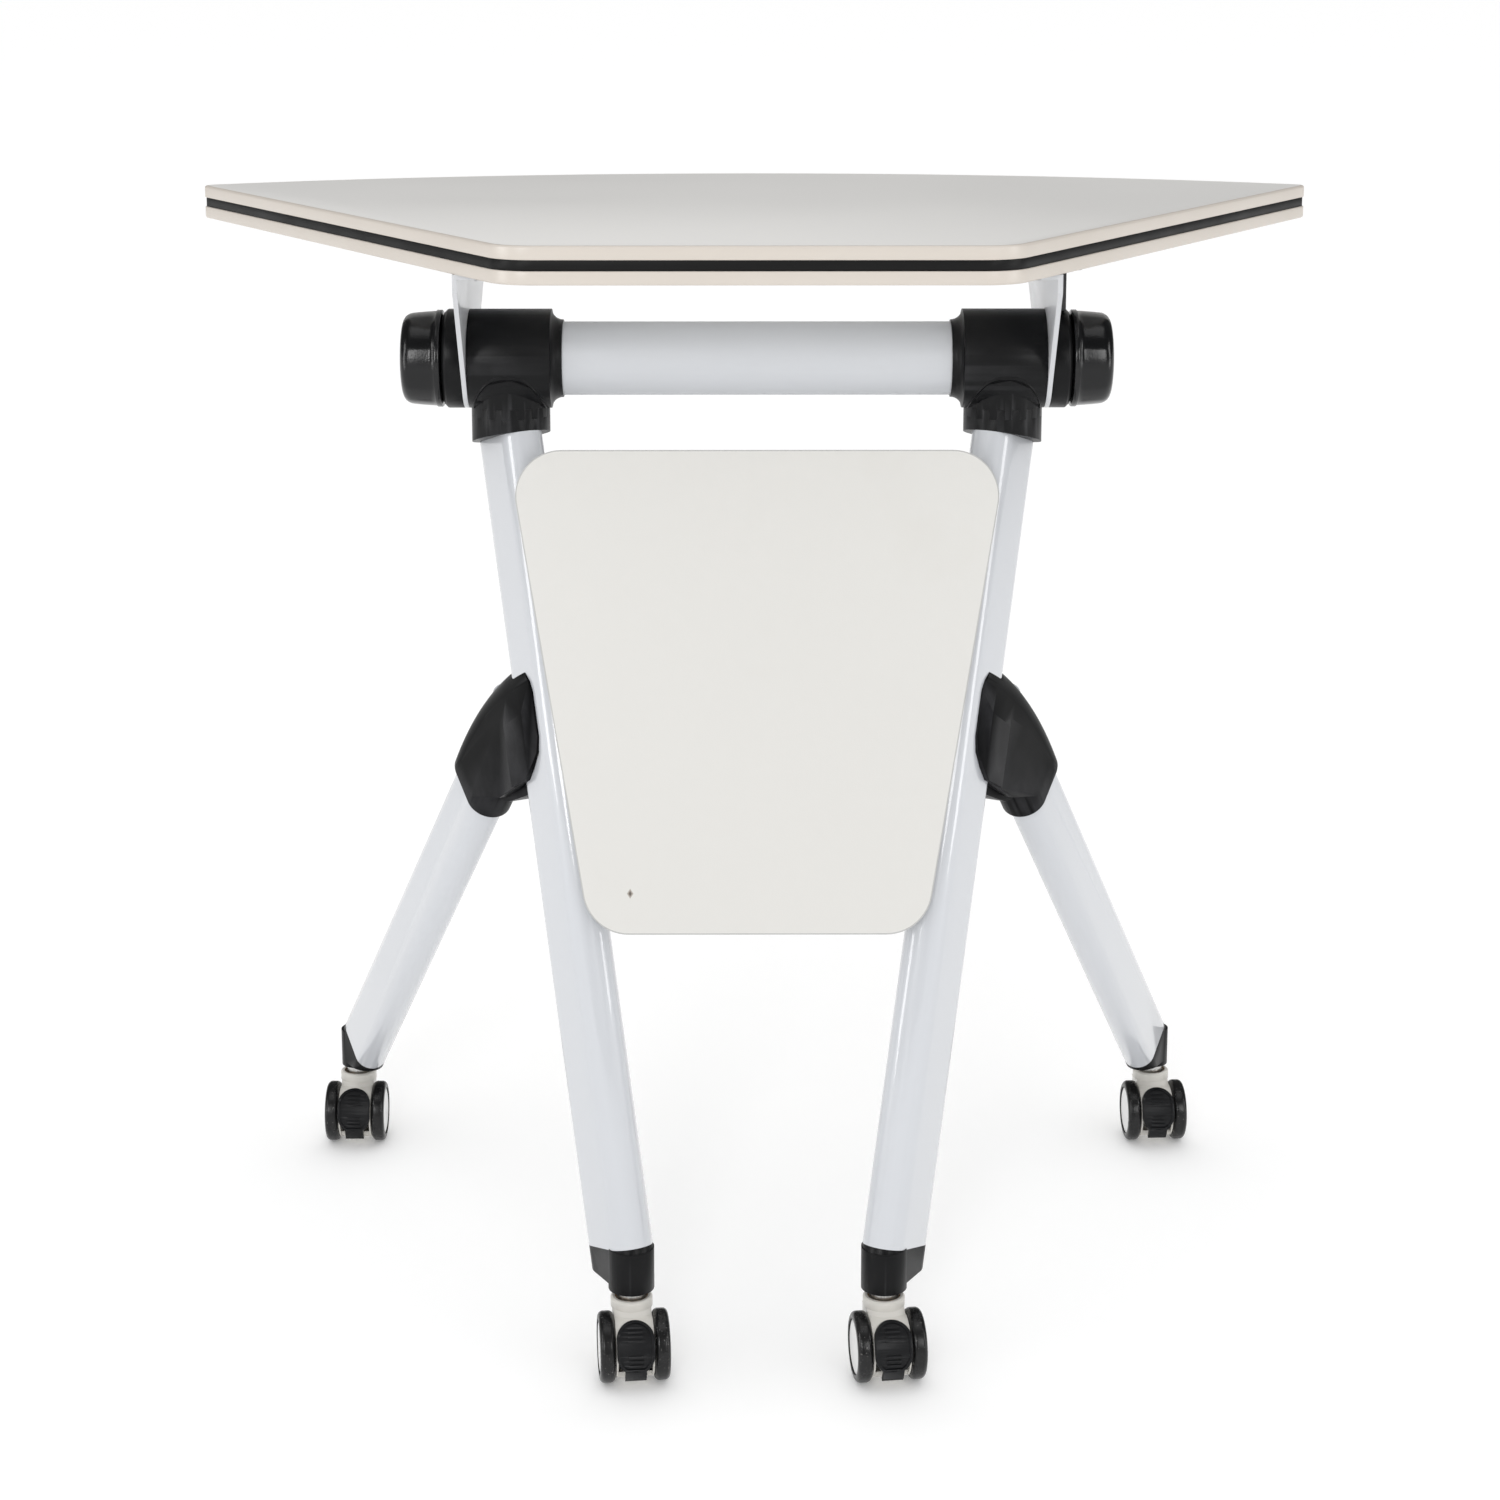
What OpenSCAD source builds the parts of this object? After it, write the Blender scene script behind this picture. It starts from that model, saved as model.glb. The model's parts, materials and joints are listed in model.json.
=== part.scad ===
/* [Top] */
// Height of the work surface above the floor
top_h = 760; // [700:1:820]
// Thickness of the board
board_t = 25; // [18:1:32]
// Length of the short edge, between its square corners
near_w = 324; // [280:2:360]
// Chord of the long curved edge, between its square corners
far_w = 866; // [840:2:960]
// Sector angle between the two slanted edges
sector_deg = 60; // [56:1:64]
// Corner radius at the short edge
near_r = 34; // [20:1:45]
// Corner radius at the curved edge
far_r = 11; // [6:1:20]
// Thickness of the edge lipping
lip_t = 3; // [2:0.5:5]
// Height of the black stripe
stripe_h = 7; // [4:0.5:9]
// Depth of the stripe below the lipping face
stripe_recess = 1; // [0.5:0.1:1.5]

/* [Beam and T-joints] */
// Outer diameter of the beam tube
beam_d = 50; // [45:0.5:54]
// Wall of the beam tube
beam_wall = 2; // [1.5:0.1:3]
// Distance of the beam axis behind the short edge
beam_back = 146; // [140:1:152]
// Distance of the beam axis under the board
beam_drop = 66.3; // [60:0.1:75]
// Outer diameter of the T-joint barrel
tee_d = 67.4; // [66:0.2:70]
// Distance of the index cup axis from the middle of the desk
cup_x = 168; // [160:1:176]
// Outer diameter of the index cup and the T-joint neck
cup_d = 53.5; // [52:0.5:56]
// Length of the thick part of the barrel towards the middle, from the cup axis
tee_in = 28.5; // [27:0.5:34]
// Length of the tapered end of the barrel
tee_taper = 8; // [5:0.5:12]
// Number of teeth around the index cup
cup_teeth = 16; // [12:1:20]
// Height of the teeth
tooth_h = 6.8; // [5:0.2:7]
// Radius of the journal that the brackets turn on
journal_r = 18; // [15:0.5:20]
// Diameter of the clamp stud
stud_d = 10; // [8:0.5:12]

/* [Brackets and knobs] */
// Thickness of the bracket plate
plate_t = 3.2; // [2.5:0.1:4]
// Reach of the bracket in front of the beam axis
plate_front = 84; // [70:1:86]
// Reach of the bracket behind the beam axis
plate_back = 139; // [120:1:160]
// Width of the bracket flange under the board
flange_w = 29; // [24:1:34]
// Length of the pivot collar
collar_len = 13.6; // [10:0.2:16]
// Diameter of the knob at its rim
knob_d = 66; // [60:1:67]
// Length of the knob
knob_len = 27; // [24:0.5:32]
// Number of grip grooves around the knob
knob_grooves = 12; // [8:1:16]

/* [Legs] */
// Angle between each leg plane and the desk's front-to-back line
splay_deg = 30; // [28:0.5:32]
// Lean of the front legs
front_lean = 16; // [15:0.5:17]
// Width of the front leg tube
front_w = 60; // [58:1:62]
// Thickness of the front leg tube
front_t = 30; // [28:1:31]
// Width of the rear leg tube
rear_w = 50; // [46:1:52]
// Thickness of the rear leg tube
rear_t = 25; // [23:1:27]
// Wall of the leg tubes
leg_wall = 2; // [1.5:0.1:2.5]
// Distance along the leg plane from the cup axis forward to the front castor stem
front_reach = 166; // [162:1:170]
// Distance along the leg plane from the cup axis back to the rear castor stem
rear_reach = 304; // [296:1:312]
// Lean of the rear legs
rear_lean = 40.4; // [39:0.2:42]
// Thickness of the coupling shell over the front leg
shell_t = 4; // [3:0.5:5]

/* [Modesty panel] */
// Thickness of the panel
panel_t = 10; // [6:1:12]
// Length of the panel along its slope
panel_len = 324; // [300:2:330]
// Distance of the panel's top edge below the beam axis
panel_drop = 56.7; // [50.7:0.1:62.7]
// Distance of the upper clips below the panel's top edge
clip_inset_top = 57.5; // [40:0.5:90]
// Distance of the lower clips above the panel's bottom, along its length
clip_inset_bottom = 38.5; // [30:0.5:90]
// Width of the panel at its top, between square corners
panel_top_w = 337; // [330:1:350]
// Width of the panel at its bottom, between square corners
panel_bottom_w = 224; // [216:1:236]
// Corner radius of the panel
panel_r = 31; // [20:1:40]

/* [Castors] */
// Diameter of the wheels
wheel_d = 47; // [46:0.5:48]
// Width of one wheel
wheel_w = 10.4; // [9:0.2:12]
// Width across both wheels
castor_w = 47; // [46:0.5:50]
// Distance of the axle in front of the stem
trail = 15; // [14:0.5:16]
// Height of the foot above the floor
foot_h = 58.5; // [58:0.5:62]
// Diameter of the wheel hub
hub_d = 36.5; // [34:0.5:38]
// Diameter of the axle
axle_d = 6; // [5:0.5:7]
// Diameter of the stem
stem_d = 11; // [9:0.5:12]
// Heading of the front left castor at rest
front_left_turn = 6.5; // [0:0.5:10]
// Heading of the front right castor at rest
front_right_turn = 8; // [0:0.5:10]
// Heading of the rear left castor at rest
rear_left_turn = 0; // [0:0.5:10]
// Heading of the rear right castor at rest
rear_right_turn = 3; // [0:0.5:10]
// Wall of the castor hood beside the pedal
cheek_t = 1.2; // [1:0.1:1.5]
// Thickness of the brake pedal
pedal_t = 3; // [2.5:0.1:3.5]

/* [Hidden] */
$fn = 96;
// Clearance between pieces of one body
fit = 0.1;
// Clearance between faces of different bodies
gap = 0.3;
// Radial clearance of a pin that turns
run = 0.08;
// Overshoot of a cutting shape
cut = 1;

CORNERS = ["front_left", "front_right", "rear_left", "rear_right"];
SIDES = ["left", "right"];
FRAME_PAIRS = ["t_joint", "index_cup", "front_leg", "rear_leg", "leg_coupling", "front_foot", "rear_foot"];
TOP_PAIRS = ["bracket", "clamp_knob"];
SINGLES = ["beam_tube", "beam_plugs", "clamp_studs", "coupling_bolts", "modesty_panel", "panel_clips",
    "panel_screws", "castor_stems", "top_board", "edge_lipping", "edge_stripe", "bracket_screws",
    "pivot_collars", "stop_plate"];
CASTOR_PARTS = ["castor_hood", "axle", "brake_pedal", "left_tyre", "right_tyre", "left_hub", "right_hub"];

// Plan of the top, measured from the short edge
half_sector = sector_deg / 2;
side_depth = (far_w - near_w) / 2 / tan(half_sector);
arc_r = far_w / 2 / sin(half_sector);
arc_back = side_depth + far_w / 2 * tan(half_sector / 2);
arc_y = arc_back - arc_r;
board_z = top_h - board_t;
stripe_z = board_z + (board_t - stripe_h) / 2;

// Castor heights and widths
axle_z = wheel_d / 2;
wheel_in = castor_w / 2 - wheel_w;
hood_half = wheel_in - 0.4;
// The pedal is an oval seen from the front and this far above
pedal_tilt = 25;
pedal_half = wheel_in - 0.5;
pedal_r = wheel_d / 2 + 1.8;
pedal_rise = 16.5;
pedal_fall = 18.9;
toe_half = sqrt(pow(pedal_half, 2) - pow(pedal_r * sin(pedal_tilt) - pedal_fall + pedal_half, 2));

// The origin is under the middle of the part's box
leg_dir = [sin(splay_deg), cos(splay_deg)];
front_stem_back = beam_back - front_reach * leg_dir[1];
tyre_round = 3.5;
function toe(turn) = max(
    (trail + pedal_r) * cos(turn) + toe_half * sin(turn),
    (trail + wheel_d / 2 - tyre_round) * cos(turn) + (castor_w / 2 - tyre_round) * sin(turn) + tyre_round
);
front_edge = front_stem_back - max(toe(front_left_turn), toe(front_right_turn));
origin_back = (arc_back + front_edge) / 2;

// Beam, cup and leg heights
beam_y = beam_back - origin_back;
beam_z = board_z - beam_drop;
tee_r = tee_d / 2;
cup_r = cup_d / 2;
tee_end = cup_x + cup_r + gap;
plate_x = tee_end + gap;
collar_x = plate_x + plate_t;
collar_end = collar_x + collar_len;
knob_neck = 2;
knob_x = collar_end + gap;
knob_end = knob_x + knob_len + knob_neck;
journal_end = collar_end - 0.4;
leg_top_z = beam_z - tee_r - 20.5;
cup_rim_z = leg_top_z + 15.5;
tenon_r = cup_r - 6.8;
tenon_top = beam_z - tee_r + 5;

// Front leg axis in the leg plane: distance from the cup axis against height
function front_u(z) = -tan(front_lean) * (leg_top_z - 4.5 - z);
front_foot_z = foot_h + 25;
rear_foot_z = foot_h + 23;
// Rear leg axis in the leg plane, ending above the rear stem
rear_u_foot = rear_reach - 16;
joint_z = (rear_u_foot + tan(rear_lean) * rear_foot_z + tan(front_lean) * (leg_top_z - 4.5))
    / (tan(rear_lean) + tan(front_lean));
joint_u = front_u(joint_z);
// Point in the leg plane, s along the rear leg from where the two axes meet and t across it
function rear_point(s, t = 0) = [
    joint_u + s * sin(rear_lean) + t * cos(rear_lean),
    joint_z - s * cos(rear_lean) + t * sin(rear_lean)
];
rear_start = 62;
rear_mouth = 150;
rear_end = (joint_z - rear_foot_z) / cos(rear_lean);

// Panel plane: it leans as the front legs do, seen from the side
panel_lean = atan(tan(front_lean) * cos(splay_deg));
leg_nose = (front_w - front_t) / 2;
nose_u = -leg_nose * cos(front_lean);
nose_z = leg_nose * sin(front_lean);
nose_y = beam_y + (front_u(leg_top_z) + nose_u) * leg_dir[1];
panel_back = front_t / 2 + gap;
panel_ref_y = nose_y - panel_back * cos(panel_lean);
panel_ref_z = leg_top_z + nose_z + panel_back * sin(panel_lean);
function panel_y(z) = panel_ref_y - tan(panel_lean) * (panel_ref_z - z);

// Plan outline of the top, inset from its edge; the corner centres stay where they are
near_corner = [near_w / 2 - near_r * tan(45 - half_sector / 2), near_r];
far_a = half_sector + asin(
    (near_w / 2 * cos(half_sector) + arc_y * sin(half_sector) - far_r) / (arc_r - far_r)
);
far_corner = [(arc_r - far_r) * sin(far_a), arc_y + (arc_r - far_r) * cos(far_a)];
corner_steps = 12;
edge_steps = 60;
// Points of an arc about a centre, from angle a to angle b
function arc_points(centre, r, a, b, steps) =
    [for (i = [0:steps]) let(t = a + (b - a) * i / steps) centre + r * [cos(t), sin(t)]];
module top_outline(inset = 0) {
    right = concat(
        arc_points(near_corner, near_r - inset, -90, -half_sector, corner_steps),
        arc_points(far_corner, far_r - inset, -half_sector, 90 - far_a, corner_steps)
    );
    back = arc_points([0, arc_y], arc_r - inset, 90 - far_a, 90 + far_a, edge_steps);
    last = len(right) - 1;
    translate([0, -origin_back]) polygon(concat(
        right, [for (i = [1:edge_steps - 1]) back[i]],
        [for (i = [last:-1:0]) [-right[i][0], right[i][1]]]
    ));
}

// Right-hand piece as drawn, or its mirror image on the left
module on_side(name) {
    mirror([name == "left" ? 1 : 0, 0, 0]) children();
}
// Leg plane: x runs backwards from the cup axis, y towards the middle, z up
module leg_plane(name) {
    on_side(name) translate([cup_x, beam_y, 0]) rotate([0, 0, 90 - splay_deg]) children();
}
// Barrel direction: z of the drawing runs outwards along the beam axis
module on_beam(name) {
    on_side(name) translate([0, beam_y, beam_z]) rotate([0, 90, 0]) children();
}
module oval(width, thick) {
    square([width - thick, thick], center = true);
    for (end = [-1, 1]) translate([end * (width - thick) / 2, 0]) circle(d = thick);
}
// Oval bar in the leg plane that starts at a point and runs at a lean from straight up
module oval_bar(start, lean, length, width, thick) {
    translate([start[0], 0, start[1]]) rotate([0, lean, 0])
        linear_extrude(length) oval(width, thick);
}

// Screws of the top
screw_r = 2;
screw_bite = 14;
head_r = 4;
head_h = 2.2;
bracket_screw_x = collar_x - flange_w / 2 - 2;
bracket_screw_y = [for (i = [0:3]) beam_y - plate_front + 18 + i * (plate_front + plate_back - 36) / 3];
stop_t = 3;
stop_foot = 15;
stop_half = 14;
stop_x = collar_x + collar_len / 2;
stop_screw_x = stop_x + stop_t + 7;
stop_screw_y = [beam_y - 8, beam_y + 8];
module at_bracket_screws() {
    for (name = SIDES) on_side(name) for (y = bracket_screw_y)
        translate([bracket_screw_x, y, board_z]) children();
}
module at_stop_screws() {
    for (y = stop_screw_y) translate([stop_screw_x, y, board_z]) children();
}
module screw_hole(depth) {
    translate([0, 0, -cut]) cylinder(r = screw_r + fit, h = depth + cut);
}
module bracket_screws() {
    color("silver") {
        at_bracket_screws() top_screw(plate_t);
        at_stop_screws() top_screw(stop_t);
    }
}
module top_screw(seat) {
    translate([0, 0, -seat]) cylinder(r = screw_r, h = seat + screw_bite - cut);
    translate([0, 0, -seat - head_h]) cylinder(r = head_r, h = head_h);
}

// Top board with its edge
module top_board() {
    color("whitesmoke") difference() {
        translate([0, 0, board_z]) linear_extrude(board_t) top_outline(lip_t);
        at_bracket_screws() screw_hole(screw_bite);
        at_stop_screws() screw_hole(screw_bite);
    }
}
stripe_back = lip_t - 1;
module edge_lipping() {
    color("antiquewhite") difference() {
        translate([0, 0, board_z]) linear_extrude(board_t) difference() {
            top_outline();
            top_outline(lip_t);
        }
        translate([0, 0, stripe_z]) linear_extrude(stripe_h) difference() {
            square(2 * far_w + 2 * arc_back, center = true);
            top_outline(stripe_back);
        }
    }
}
module edge_stripe() {
    color("black") translate([0, 0, stripe_z]) linear_extrude(stripe_h) difference() {
        top_outline(stripe_recess);
        top_outline(stripe_back);
    }
}

// Tangent point on a circle of radius r about the origin, seen from point p
function tangent(p, r, turn) = let(a = atan2(p[1], p[0]) + turn * acos(r / norm(p))) [r * cos(a), r * sin(a)];
plate_lip = 12;
module bracket(name) {
    front = [-plate_front, beam_drop - plate_lip];
    back = [plate_back, beam_drop - plate_lip];
    color("gainsboro") on_side(name) difference() {
        union() {
            translate([plate_x, beam_y, beam_z]) rotate([90, 0, 90]) linear_extrude(plate_t) {
                circle(r = tee_r);
                polygon([
                    [-plate_front, beam_drop], front, tangent(front, tee_r, 1),
                    tangent(back, tee_r, -1), back, [plate_back, beam_drop]
                ]);
            }
            translate([collar_x - flange_w, beam_y - plate_front, board_z - plate_t])
                cube([flange_w, plate_front + plate_back, plate_t]);
        }
        translate([plate_x - cut, beam_y, beam_z]) rotate([0, 90, 0])
            cylinder(r = journal_r + run, h = plate_t + 2 * cut);
        for (y = bracket_screw_y) translate([bracket_screw_x, y, board_z - plate_t])
            screw_hole(plate_t + cut);
    }
}
module pivot_collars() {
    bevel = 2.5;
    color("dimgray") for (name = SIDES) on_beam(name) difference() {
        union() {
            translate([0, 0, collar_x]) cylinder(r = tee_r, h = collar_len - bevel);
            translate([0, 0, collar_end - bevel]) cylinder(r1 = tee_r, r2 = tee_r - bevel, h = bevel);
        }
        translate([0, 0, collar_x - cut]) cylinder(r = journal_r + run, h = collar_len + 2 * cut);
    }
}
module stop_plate() {
    low = beam_z + tee_r + gap;
    color("black") difference() {
        union() {
            translate([stop_x, beam_y - stop_half, low]) cube([stop_t, 2 * stop_half, board_z - low]);
            translate([stop_x, beam_y - stop_half, board_z - stop_t])
                cube([stop_foot, 2 * stop_half, stop_t]);
        }
        translate([0, 0, -stop_t]) at_stop_screws() screw_hole(stop_t + cut);
    }
}
// Knob: the profile is drawn as radius against distance from its inner face
module clamp_knob(name) {
    shoulder = 7;
    dome_r = 150;
    nose_r = knob_d / 2 - 2.6;
    top = knob_len + knob_neck;
    flat_r = nose_r - shoulder;
    brow = top - dome_r + sqrt(dome_r * dome_r - flat_r * flat_r);
    groove_r = 4;
    groove_in = 1.3;
    skirt = 6;
    color("dimgray") on_beam(name) translate([0, 0, knob_x]) difference() {
        rotate_extrude() {
            square([knob_d / 2 - 3, knob_neck + cut]);
            polygon([
                [0, knob_neck], [knob_d / 2, knob_neck], [knob_d / 2, knob_neck + skirt],
                [nose_r, brow - shoulder], [0, brow - shoulder]
            ]);
            translate([flat_r, brow - shoulder]) intersection() {
                circle(r = shoulder);
                square(shoulder);
            }
            intersection() {
                square([flat_r, top]);
                translate([0, top - dome_r]) circle(r = dome_r, $fn = 360);
            }
        }
        for (i = [0:knob_grooves - 1]) rotate([0, 0, i * 360 / knob_grooves])
            translate([knob_d / 2 + groove_r - groove_in, 0, -cut])
                cylinder(r = groove_r, h = knob_len - shoulder + cut);
        translate([0, 0, -cut]) cylinder(r = stud_d / 2 + run, h = stud_end - knob_x + gap + cut);
    }
}

// Beam and its ends
beam_end = tee_end - 4.5;
stud_in = beam_end - 38;
stud_end = knob_end - 6;
module beam_tube() {
    half = beam_end - fit;
    color("lightgray") translate([-half, beam_y, beam_z]) rotate([0, 90, 0]) difference() {
        cylinder(d = beam_d, h = 2 * half);
        translate([0, 0, -cut]) cylinder(d = beam_d - 2 * beam_wall, h = 2 * (half + cut));
    }
}
module beam_plugs() {
    plug_len = 40;
    color("dimgray") for (name = SIDES) on_beam(name) translate([0, 0, beam_end - cut - plug_len])
        difference() {
            cylinder(r = beam_d / 2 - beam_wall - fit, h = plug_len);
            translate([0, 0, -cut]) cylinder(r = stud_d / 2 + fit, h = plug_len + 2 * cut);
        }
}
module clamp_studs() {
    color("silver") for (name = SIDES) on_beam(name)
        translate([0, 0, stud_in]) cylinder(d = stud_d, h = stud_end - stud_in);
}
// Radial blocks, one to each tooth space of the index cup
module tooth_blocks(height, slack = 0) {
    pitch = 360 / cup_teeth;
    wide = 2 * cup_r * sin(pitch / 4) + slack;
    for (i = [0:cup_teeth - 1]) rotate([0, 0, (i + 0.5) * pitch])
        translate([tenon_r - 2, -wide / 2, 0]) cube([cup_r, wide, height]);
}
module t_joint(name) {
    taper_r = beam_d / 2 + 1.4;
    thick_from = cup_x - tee_in;
    taper_from = thick_from - tee_taper;
    color("dimgray") difference() {
        union() {
            on_beam(name) {
                translate([0, 0, thick_from]) cylinder(r = tee_r, h = tee_end - thick_from);
                translate([0, 0, taper_from]) cylinder(r1 = taper_r, r2 = tee_r, h = tee_taper);
                translate([0, 0, tee_end - cut]) cylinder(r = journal_r, h = journal_end - tee_end + cut);
            }
            leg_plane(name) translate([0, 0, cup_rim_z + fit]) cylinder(r = cup_r, h = beam_z - cup_rim_z);
        }
        leg_plane(name) translate([0, 0, cup_rim_z - cut]) difference() {
            cylinder(r = cup_r + cut, h = cut + tooth_h + fit);
            translate([0, 0, -cut]) tooth_blocks(tooth_h + 4 * cut, -2 * fit);
        }
        on_beam(name) {
            translate([0, 0, taper_from - cut])
                cylinder(r = beam_d / 2 + fit, h = beam_end - taper_from + cut);
            translate([0, 0, beam_end - cut])
                cylinder(r = stud_d / 2 + fit, h = journal_end - beam_end + 2 * cut);
        }
        leg_plane(name) translate([0, 0, cup_rim_z - cut])
            cylinder(r = tenon_r + fit, h = tenon_top + fit - cup_rim_z + cut);
    }
}
top_cut = [front_u(leg_top_z), leg_top_z];
tube_bite = 35;
// Height in the cup that clears the raised side of the leaning tube end
cup_core = tenon_r * tan(front_lean) + 1;
module index_cup(name) {
    base_z = leg_top_z - 20;
    wedge_top = cup_rim_z - 2;
    color("dimgray") leg_plane(name) union() {
        difference() {
            union() {
                translate([0, 0, base_z]) cylinder(r = cup_r, h = cup_rim_z + tooth_h - base_z);
                intersection() {
                    oval_bar(top_cut, front_lean, 30, front_w, front_t);
                    translate([0, 0, base_z]) cylinder(r = front_w, h = wedge_top - base_z);
                }
            }
            translate([0, 0, cup_rim_z]) tooth_blocks(tooth_h + cut);
            // Everything below the tube end
            oval_bar(top_cut, front_lean + 180, front_w, 3 * front_w, 2 * front_w);
        }
        translate([0, 0, leg_top_z + cup_core]) cylinder(r = tenon_r, h = tenon_top - leg_top_z - cup_core);
        tube_tenon(top_cut, front_lean + 180, front_w, front_t);
    }
}
// Oval tenon that fills the end of a leg tube
module tube_tenon(at, lean, width, thick) {
    slim = 2 * leg_wall + 2 * fit;
    back = [at[0] - 2 * sin(lean), at[1] - 2 * cos(lean)];
    oval_bar(back, lean, tube_bite + 2, width - slim, thick - slim);
}

// Legs
front_foot_at = [front_u(front_foot_z), front_foot_z];
front_leg_len = (leg_top_z - front_foot_z) / cos(front_lean);
module tube_bar(start, lean, length, width, thick) {
    inner = [start[0] - cut * sin(lean), start[1] - cut * cos(lean)];
    difference() {
        oval_bar(start, lean, length, width, thick);
        oval_bar(inner, lean, length + 2 * cut, width - 2 * leg_wall, thick - 2 * leg_wall);
    }
}
module front_leg(name) {
    color("aliceblue") difference() {
        leg_plane(name) tube_bar(front_foot_at, front_lean, front_leg_len, front_w, front_t);
        at_clips(name) leg_screw(fit);
    }
}
module rear_leg(name) {
    color("aliceblue") leg_plane(name) difference() {
        tube_bar(rear_point(rear_end), -rear_lean, rear_end - rear_start, rear_w, rear_t);
        shell_bolts(fit);
    }
}

// Coupling between the legs, bolted from its inner face
bolt_r = 3;
bolt_head_r = 5.5;
bolt_head_h = 3.5;
shell_half = front_t / 2 + shell_t;
sleeve_half = rear_t / 2 + shell_t;
bolt_spots = [rear_point(42, 6), rear_point(112)];
module shell_bolts(slack = 0) {
    blind = sleeve_half - 4 + slack;
    for (spot = bolt_spots) translate([spot[0], -blind, spot[1]]) rotate([-90, 0, 0])
        cylinder(r = bolt_r + slack, h = blind + sleeve_half + (slack > 0 ? cut : 0));
}
module coupling_bolts() {
    color("silver") for (name = SIDES) leg_plane(name) {
        shell_bolts();
        for (spot = bolt_spots) translate([spot[0], sleeve_half, spot[1]]) rotate([-90, 0, 0])
            cylinder(r = bolt_head_r, h = bolt_head_h);
    }
}
// Plate in the leg plane: x of the drawing runs backwards and y runs up
module leg_sheet(half) {
    translate([0, half, 0]) rotate([90, 0, 0]) linear_extrude(2 * half) children();
}
// Outline of the coupling's face: crease along the front leg, mouth of the rear sleeve, then the seam
rim_r = 300;
rim_at = rear_point(130, rear_w / 2 + shell_t + 1.5 - rim_r);
web_top = joint_z - 6.5;
face_outline = [
    [front_u(web_top) + 3, web_top], rear_point(-20, rear_w), rear_point(rear_mouth - 0.5, 2 * rear_w),
    rear_point(rear_mouth - 0.5, -8), rear_point(102, -43), [front_u(joint_z - 82) + 12, joint_z - 82],
    [front_u(joint_z - 71) + 4, joint_z - 71], [front_u(joint_z - 53) + 3, joint_z - 53]
];
band_outline = [
    [front_u(web_top) - 3, web_top], [front_u(web_top) + front_w / 2 + 6, web_top],
    [front_u(joint_z - 92) + front_w / 2 + 6, joint_z - 92], [front_u(joint_z - 82) + 12, joint_z - 82],
    [front_u(joint_z - 71) + 1, joint_z - 71], [front_u(joint_z - 59) - 9, joint_z - 59],
    [front_u(joint_z - 42) - 15, joint_z - 42], [front_u(joint_z - 22) - 15, joint_z - 22],
    [front_u(web_top - 5) - 10, web_top - 5]
];
neck_outline = [
    [front_u(joint_z - 68) + 10, joint_z - 68], [front_u(joint_z - 96) + 28, joint_z - 96],
    rear_point(106, -45), rear_point(126, -24), rear_point(80, -20)
];
// Disc with a rounded rim that shapes the coupling's back edge
module rim_disc() {
    seat = rim_r - sleeve_half;
    translate([rim_at[0], 0, rim_at[1]]) rotate([90, 0, 0]) rotate_extrude() {
        translate([seat, 0]) circle(r = sleeve_half);
        polygon([
            [0, -21], [seat - 34, -21], [seat + 1, -sleeve_half + 0.3], [seat + 1, sleeve_half - 0.3],
            [seat - 34, 21], [0, 21]
        ]);
    }
}
module leg_coupling(name) {
    grip = 12.5;
    band_edge = front_t / 2 + 1.4;
    face_half = shell_half + 0.3;
    reach = front_w / 2 + 6;
    color("dimgray") leg_plane(name) difference() {
        intersection() {
            union() {
                intersection() {
                    translate([joint_u, 0, joint_z]) rotate([0, 90 - rear_lean, 0])
                        translate([0, 0, -2 * rear_w]) linear_extrude(4 * rear_w) polygon([
                            [-rear_w, face_half + 1], [rear_mouth, sleeve_half - 0.3],
                            [rear_mouth, 0.3 - sleeve_half], [-rear_w, -face_half - 1]
                        ]);
                    leg_sheet(front_w) polygon(face_outline);
                }
                oval_bar(rear_point(rear_mouth), -rear_lean, rear_mouth - 20,
                    rear_w + 2 * shell_t, rear_t + 2 * shell_t);
                leg_sheet(10) polygon(neck_outline);
                intersection() {
                    translate([front_foot_at[0], 0, front_foot_at[1]]) rotate([0, front_lean, 0])
                        linear_extrude(front_leg_len) polygon([
                            [-grip, band_edge], [4, shell_half], [reach, shell_half],
                            [reach, -shell_half], [4, -shell_half], [-grip, -band_edge]
                        ]);
                    leg_sheet(front_w) polygon(band_outline);
                }
            }
            rim_disc();
        }
        oval_bar(front_foot_at, front_lean, front_leg_len, front_w + 2 * fit, front_t + 2 * fit);
        oval_bar(rear_point(rear_end), -rear_lean, rear_end - rear_start + fit,
            rear_w + 2 * fit, rear_t + 2 * fit);
        shell_bolts(fit);
        for (spot = bolt_spots) translate([spot[0], sleeve_half, spot[1]]) rotate([-90, 0, 0])
            cylinder(r = bolt_head_r + gap, h = rear_w);
    }
}

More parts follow.
